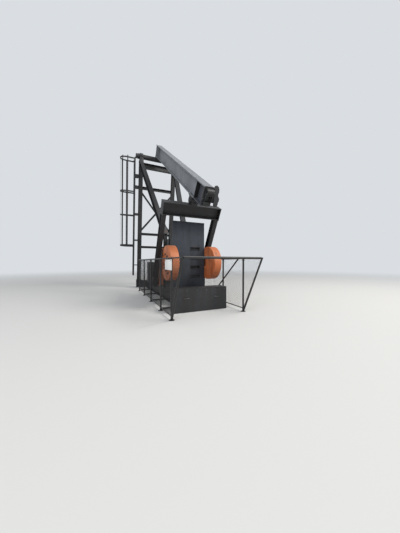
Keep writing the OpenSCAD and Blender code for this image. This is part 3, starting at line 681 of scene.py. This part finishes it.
# %% [markdown]
# Each pair of legs meets under a welded cap that carries a bearing of the beam pivot. A slim
# cross tie joins the pairs just below, with open air between it and the cross tube. A single
# block would close that gap, so both are built as a fitter cuts them: an I section run from leg to
# leg, and for each cap a top and a bottom plate with a web and three stiffeners between them.

# %% Head of the frame
def joined(name, made, body, slot):
    """One piece out of several settled ones."""
    pick(*made)
    bpy.ops.object.join()
    return settle(bpy.context.object, name, body, slot)


legs_top, seat_z, leg_line = 6.55, 6.85, 0.90
near, far = leg_line - 0.10, leg_line + 0.10
tie_low, tie_high, tie_wide = 6.44, 6.69, 0.20
tie_middle = Matrix.Translation((pivot_x, 0, (tie_low + tie_high) / 2))
head = [cut_plate("tie", i_outline(tie_wide, tie_high - tie_low, 0.018, 0.012),
                  2 * near - 0.03, "frame", "dark_paint", tie_middle)]
web_low, web_high = legs_top + 0.02, seat_z - 0.026
cap = [(-0.12, 0.12, near - 0.016, near, tie_low - 0.01, tie_high + 0.01),
       (-0.235, 0.24, near, far, legs_top - 0.0003, legs_top + 0.022),
       (-0.235, 0.235, near, far, seat_z - 0.028, seat_z),
       (-0.225, 0.225, leg_line - 0.011, leg_line + 0.011, web_low, web_high)]
cap += [(x - 0.009, x + 0.009, near + 0.006, far - 0.006, web_low, web_high)
        for x in (-0.215, 0.0, 0.215)]
for side, label in sides:
    for x0, x1, y0, y1, z0, z1 in cap:
        head.append(plate("cap plate", (pivot_x + x0, side * y0, z0),
                          (pivot_x + x1, side * y1, z1), "frame", "dark_paint", bevel=0.003))
head_frame = joined("head_frame", head, "frame", "dark_paint")
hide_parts("head_beam")
print("head frame faces:", len(head_frame.data.polygons))

# %% [markdown]
# The pillow blocks of the beam pivot are split castings. Long bolts hold them to the caps of the
# legs, and a pair of ears on each joins its two halves. The ears are small plates, one on each
# side of the block, at the height where it is split.

# %% Pivot bearings
for side, label in sides:
    bolts("pillow_bolts_" + label, [(pivot_x + x, side * (leg_line + y), 6.895)
          for x in (-0.18, 0.18) for y in (-0.05, 0.05)], (0, 0, 1), 0.017, "frame")
    for k, x in enumerate((pivot_x - 0.155, pivot_x + 0.155)):
        plate("pillow_ear_%s_%d" % (label, k), (x - 0.03, side * 0.845, pivot_z - 0.035),
              (x + 0.03, side * 0.955, pivot_z + 0.035), "frame", "dark_paint")
        bolts("ear_bolt_%s_%d" % (label, k), [(x, side * leg_line, pivot_z + 0.035)], (0, 0, 1),
              0.017, "frame")

# %% [markdown]
# The bars between the rear legs are bolted through the leg flanges, and plates under the legs
# spread their load on the skid. The rear legs lean, and their bolts have to lean with them, so a
# helper gives the slanting frame of these legs at any height.

# %% Legs
rear_top_x, rear_foot_x, skid_top = -4.07, -5.20, 0.40
rear_lean = math.atan2(rear_top_x - rear_foot_x, legs_top - skid_top)


def rear_x(z):
    return rear_top_x - (legs_top - z) * math.tan(rear_lean)


def along_rear_leg(z):
    return slanted((rear_x(z), 0, z), rear_lean)


for k, z in enumerate((2.33, 3.06, 5.50)):
    for out in (-1, 1):
        bolts("leg_bolts_%d_%d" % (k, out + 1), [(out * 0.100, side * y, v) for side in (-1, 1)
              for y in (0.86, 0.94) for v in (-0.05, 0.05)], (out, 0, 0), 0.012, "frame",
              along_rear_leg(z))
for side, label in sides:
    y = side * leg_line
    plate("foot_plate_" + label, (rear_foot_x - 0.15, y - 0.15, skid_top),
          (rear_foot_x + 0.15, y + 0.15, skid_top + 0.018), "frame", "dark_paint")
    bolts("foot_bolts_" + label, [(rear_foot_x + a, y + b, skid_top + 0.018)
          for a in (-0.125, 0.125) for b in (-0.12, 0.12)], (0, 0, 1), 0.016, "frame")
    bolts("post_bolts_" + label, [(-0.9 + a, side * 0.43 + b, 0.42) for a in (-0.128, 0.128)
          for b in (-0.04, 0.04)], (0, 0, 1), 0.013, "frame")

# %% [markdown]
# Each guard is a frame of pipes with a wire mesh in it, welded from straight lengths: a top rail
# that turns down into a leaning front post, posts with a small flange under each, and a thin
# bottom bar that the mesh is tied to. The mesh comes first. From the camera it is too fine to see
# and only greys what is behind it. A see-through sheet would do for that one view, but close up
# it would show as a film, so each wire is there, at 45 degrees, and ends at the pipes round it.

# %% Wire mesh
guard_rear, mesh_low, mesh_high, mesh_pitch = -3.47, 0.10, 1.56, 0.075
front_foot, front_lean, front_reach = 2.2, 0.51, 3.1


def mesh_runs(y):
    """Crossing wires, each from the first to the last place that is inside the frame."""
    step, stand_off = 0.01, 0.0022
    runs = []
    for lean in (-1, 1):
        start = guard_rear - mesh_high if lean > 0 else guard_rear
        for k in range(int((front_reach - guard_rear + mesh_high) / mesh_pitch) + 1):
            foot = start + k * mesh_pitch
            inside = []
            for n in range(int((mesh_high - mesh_low) / step) + 1):
                z = mesh_low + step * n
                x = foot + lean * z
                if guard_rear <= x <= front_foot + front_lean * z:
                    inside.append((x, y + lean * stand_off, z))
            if len(inside) > 3:
                runs.append(([inside[0], inside[-1]], 1.0))
    return runs


print("wires in one guard:", len(mesh_runs(0.0)))

# %% [markdown]
# The pipes of a guard could be cylinders, but where two of them meet at an angle their ends would
# stand open. As runs of one curve they get a mitred bend, and each run has its own share of the
# radius: the top rail is the thickest, and the bottom bar half as thick. Collars show where the
# posts meet the rail, clips hold the mesh, and only the right guard has a brace.

# %% Guards
guard_y, rail_z, pipe, wire = 1.10, 1.57, 0.030, 0.0023
posts = (guard_rear, -1.95, -0.45, 1.06, 2.20)
rail_rear, rail_front, leaning_foot = guard_rear - pipe, (3.0, rail_z), (2.215, pipe)
collar_profile = [(0.0275, 0.0), (0.0335, 0.006), (0.0335, 0.034), (0.0275, 0.04)]
foot_profile = [(0.075, 0.0), (0.075, 0.010), (0.032, 0.012), (0.032, 0.04)]


def on_posts(name, profile, y, z):
    """The same turned piece on each post, at one height."""
    made = [turned("on post", profile, (x, y, z), (0, 0, 1), "frame", "rail_paint", steps=24)
            for x in posts]
    return joined(name, made, "frame", "rail_paint")


for side, label in sides:
    y = side * guard_y
    rail = [(x, y, z) for x, z in ((rail_rear, rail_z), rail_front, leaning_foot)]
    runs = [(rail, 1.0), ([(rail_rear, y, mesh_low), (2.25, y, mesh_low)], 0.5)]
    runs += [([(x, y, 0.0), (x, y, rail_z)], 0.9) for x in posts]
    if label == "right":
        runs.append(([(0.09, y, mesh_low), (1.95, y, rail_z)], 0.77))
    guard = wires("guard_frame_" + label, runs, pipe, 6, "rail_paint")
    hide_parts("guard_" + label)
    wires("guard_mesh_" + label, mesh_runs(y), wire, 0, "rail_paint")
    bolts("mesh_clips_" + label, [(x, y + side * 0.026, z) for x in posts
          for z in (0.35, 0.75, 1.15)], (0, side, 0), 0.008, "frame")
    on_posts("rail_collars_" + label, collar_profile, y, 1.50)
    on_posts("post_feet_" + label, foot_profile, y, 0.0)

# %% [markdown]
# A plain white board hangs from the left rail on two straps. On the real one it bears a notice,
# and here it stays blank. It is a thin plate, as the real one is, and its weathered white finish
# has to be laid on by hand, because it takes the slot of the light paint.

# %% Notice board
board_y, board_bolts = -1.139, (1.80, 2.26)
sign = plate("notice_board", (1.72, board_y, 1.265), (2.34, board_y + 0.006, 1.532), "frame",
             "light_paint", bevel=0.0015)
sign.data.materials[0] = finishes["sign_white"]
for k, x in enumerate(board_bolts):
    ring("board_strap_%d" % k, (x, -guard_y, rail_z), 0.0345, 0.0035, (0, math.pi / 2, 0),
         "bare_iron")
bolts("board_bolts", [(x, board_y, 1.50) for x in board_bolts], (0, -1, 0), 0.009, "frame")

# %% [markdown]
# The ladder leans with the rear leg and is bolted to its brackets, and each hoop of its cage is
# bolted at the five straps. The hoops could carry rivets in their texture, but little bolts at the
# crossings also show in the outline, which is how the eye reads the way it goes together.

# %% Ladder
for k, z in enumerate((1.3, 2.7, 4.1, 5.5, 6.05)):
    bolts("bracket_top_%d" % k, [(rear_x(z) + x, y, z + 0.02) for x in (-0.19, 0.19)
          for y in (-1.16, -1.05)], (0, 0, 1), 0.011, "frame")
cage_y, cage_radius = -1.5903, 0.340
for k, z in enumerate((2.40, 4.02, 5.22, 6.81)):
    for m in range(5):
        c, s = math.cos(math.radians(45 * m)), math.sin(math.radians(45 * m))
        bolts("cage_bolt_%d_%d" % (k, m), [(cage_radius * c, cage_y - cage_radius * s, 0.0)],
              (c, -s, 0), 0.009, "frame", along_rear_leg(z))

# %% [markdown]
# The electric motor has a finned body, a fan cover at the rear and a terminal box on top. The body
# is a solid already. What is missing is how it opens: the lid of the box with its four screws, the
# pressed fan cover, whose edge rolls inwards, and the bolts in the feet.

# %% Motor
motor_x, box_y, box_top = -2.9, 0.02, 1.135
plate("terminal_lid", (motor_x - 0.09, box_y - 0.09, box_top - 0.015),
      (motor_x + 0.09, box_y + 0.09, box_top), "frame", "motor_paint")
bolts("terminal_bolts", [(motor_x + a, box_y + b, box_top) for a in (-0.075, 0.075)
      for b in (-0.075, 0.075)], (0, 0, 1), 0.006, "frame")
turned("fan_cover", [(0.175, 0.0), (0.175, 0.05), (0.15, 0.075), (0.06, 0.08), (0.05, 0.07)],
       (motor_x, -0.36, 0.82), (0, -1, 0), "frame", "motor_paint", steps=40)
bolts("motor_feet", [(motor_x + x, y, 0.59) for x in (-0.195, 0.195) for y in (-0.12, 0.12)],
      (0, 0, 1), 0.013, "frame")

# %% [markdown]
# The control cabinet stands behind the motor. Its door is a pressed sheet with a raised rim, with
# hinges, a latch and a row of louvres low down. The rim is an inset of the door's front face,
# pushed in before the edges are bevelled, and the louvres are thin bevelled strips.

# %% Control cabinet
plate("cabinet_door", (-4.425, -0.540, 0.45), (-3.975, -0.519, 1.42), "frame", "dark_paint",
      bevel=0.003, panel=(0, -1, 0))
louvre_low, louvre_pitch, louvres = 0.60, 0.035, 6
for k in range(louvres):
    z = louvre_low + louvre_pitch * k
    plate("louvre_%d" % k, (-4.33, -0.546, z), (-4.07, -0.533, z + 0.014), "frame",
          "dark_paint", bevel=0.002)
for k, z in enumerate((0.62, 0.94, 1.26)):
    turned("door_hinge_%d" % k, [(0.013, 0.0), (0.013, 0.10), (0.009, 0.104)],
           (-4.432, -0.534, z - 0.05), (0, 0, 1), "frame", "bare_iron", steps=16)
turned("door_latch", [(0.028, 0.0), (0.028, 0.012), (0.012, 0.013), (0.012, 0.04)],
       (-4.02, -0.535, 0.98), (0, -1, 0), "frame", "bare_iron", steps=24)
print("door, latch,", louvres, "louvres")

# %% [markdown]
# The belt guard is a thin pressed cover. A pressed bead follows its slope, and round inspection
# discs mark the two shafts behind it. The discs are turned, with a step at the edge and a dimple
# in the middle, because a flat disc would hardly show on the flat cover.

# %% Belt guard
cover_y = 0.590
big_x, big_z, small_x, small_z = -0.55, 1.85, -2.9, 0.82
for name, x, z, r in (("gear", big_x, big_z, 0.20), ("motor", small_x, small_z, 0.11)):
    turned("guard_disc_" + name, [(r, 0.0), (r, 0.004), (r - 0.012, 0.006), (0.03, 0.007),
           (0.025, 0.004)], (x, cover_y, z), (0, 1, 0), "frame", "dark_paint", steps=48)
slope = math.atan2(big_z - small_z, big_x - small_x)
plate("guard_bead", (-2.2, cover_y, -0.012), (-0.32, cover_y + 0.006, 0.012), "frame",
      "dark_paint", slanted((big_x, 0.0, big_z), -slope), bevel=0.003)
print("belt slope:", round(math.degrees(slope), 1), "degrees")


# %% [markdown]
# The floor and the surround are for the picture and not part of the machine. They should look pale
# and yet throw no more light on it, which a brighter lamp would do. So Light Path is used: it
# tells which rays show a background, the camera's and those that metal mirrors or glass lets
# through. Only those see the pale colour.

# %% Rays that show the background
def seen(tree):
    """1 for the rays that show the background: straight ones, mirrored ones, those in glass."""
    path = tree.nodes.new("ShaderNodeLightPath")
    total = path.outputs["Is Camera Ray"]
    for kind in ("Is Glossy Ray", "Is Transmission Ray"):
        most = tree.nodes.new("ShaderNodeMath")
        most.operation = "MAXIMUM"
        tree.links.new(total, most.inputs[0])
        tree.links.new(path.outputs[kind], most.inputs[1])
        total = most.outputs[0]
    return total


print("helper: seen")

# %% [markdown]
# A pale matt floor keeps the shadow of the machine close by. Further out a plain plane would end
# in a hard line, so it fades into the colour of the surround with the distance from the middle.
# The fade is emission, mixed over the matt finish.

# %% Floor
pale = (0.70, 0.73, 0.76, 1)
fresh()
bpy.ops.mesh.primitive_plane_add(size=140.0, location=(0, 0, 0))
floor = bpy.context.object
floor.name = "floor"
floor_finish = bpy.data.materials.new("pale_floor")
floor_finish.use_nodes = True
tree = floor_finish.node_tree
matt = tree.nodes["Principled BSDF"]
matt.inputs["Base Color"].default_value = (0.60, 0.60, 0.59, 1)
matt.inputs["Roughness"].default_value = 0.9
where = tree.nodes.new("ShaderNodeTexCoord")
distance = tree.nodes.new("ShaderNodeVectorMath")
distance.operation = "LENGTH"
fade = tree.nodes.new("ShaderNodeMapRange")
fade.interpolation_type = "SMOOTHSTEP"
fade.inputs["From Min"].default_value = 9.0
fade.inputs["From Max"].default_value = 34.0
only_seen = tree.nodes.new("ShaderNodeMath")
only_seen.operation = "MULTIPLY"
haze = tree.nodes.new("ShaderNodeEmission")
haze.inputs["Color"].default_value = pale
merge = tree.nodes.new("ShaderNodeMixShader")
for source, target in ((where.outputs["Object"], distance.inputs[0]),
                       (distance.outputs["Value"], fade.inputs["Value"]),
                       (fade.outputs["Result"], only_seen.inputs[0]),
                       (seen(tree), only_seen.inputs[1]),
                       (only_seen.outputs[0], merge.inputs[0]),
                       (matt.outputs[0], merge.inputs[1]),
                       (haze.outputs[0], merge.inputs[2]),
                       (merge.outputs[0], tree.nodes["Material Output"].inputs["Surface"])):
    tree.links.new(source, target)
floor.data.materials.append(floor_finish)
print("floor fades from", fade.inputs["From Min"].default_value, "m")

# %% [markdown]
# The surround does two jobs: it lights the machine softly from all sides, and it is the backdrop.
# One strength can't suit both, so two backgrounds are mixed. A dimmer one gives the light, and
# the rays that show a background see the other, whose colour is the one the floor fades into.

# %% Surround
world = bpy.data.worlds.new("pale_surround")
bpy.context.scene.world = world
world.use_nodes = True
tree = world.node_tree
soft = tree.nodes["Background"]
soft.inputs["Color"].default_value = (0.92, 0.94, 0.97, 1)
soft.inputs["Strength"].default_value = 0.55
shown = tree.nodes.new("ShaderNodeBackground")
shown.inputs["Color"].default_value = pale
shown.inputs["Strength"].default_value = 1.0
either = tree.nodes.new("ShaderNodeMixShader")
for source, target in ((seen(tree), either.inputs[0]), (soft.outputs[0], either.inputs[1]),
                       (shown.outputs[0], either.inputs[2]),
                       (either.outputs[0], tree.nodes["World Output"].inputs["Surface"])):
    tree.links.new(source, target)
print("surround:", world.name)


# %% [markdown]
# The machine is dark and needs light from two sides to show its edges. A sun would draw hard
# shadows, so there are two large soft lamps in front: a warm one high on the right, and a weaker,
# cooler one on the left. Both aim at the middle of the machine.

# %% Lamps
def lamp(name, place, size, power, tint):
    light = bpy.data.lights.new(name, "AREA")
    light.size = size
    light.energy = power
    light.color = tint
    holder = bpy.data.objects.new(name, light)
    bpy.context.scene.collection.objects.link(holder)
    holder.location = place
    aim = Vector((-1.0, 0.0, 2.5)) - Vector(place)
    holder.rotation_euler = aim.to_track_quat("-Z", "Y").to_euler()


lamp("key", (11.0, 12.0, 20.0), 9.0, 4600.0, (1.0, 0.97, 0.92))
lamp("fill", (15.0, -16.0, 13.0), 12.0, 2300.0, (0.93, 0.96, 1.0))
bpy.context.scene.view_settings.view_transform = "Standard"
print("lamps placed")

# %% [markdown]
# The bolt master has served and goes, because it isn't part of the machine.

# %% Clearing the bolt master
bpy.data.objects.remove(bolt)
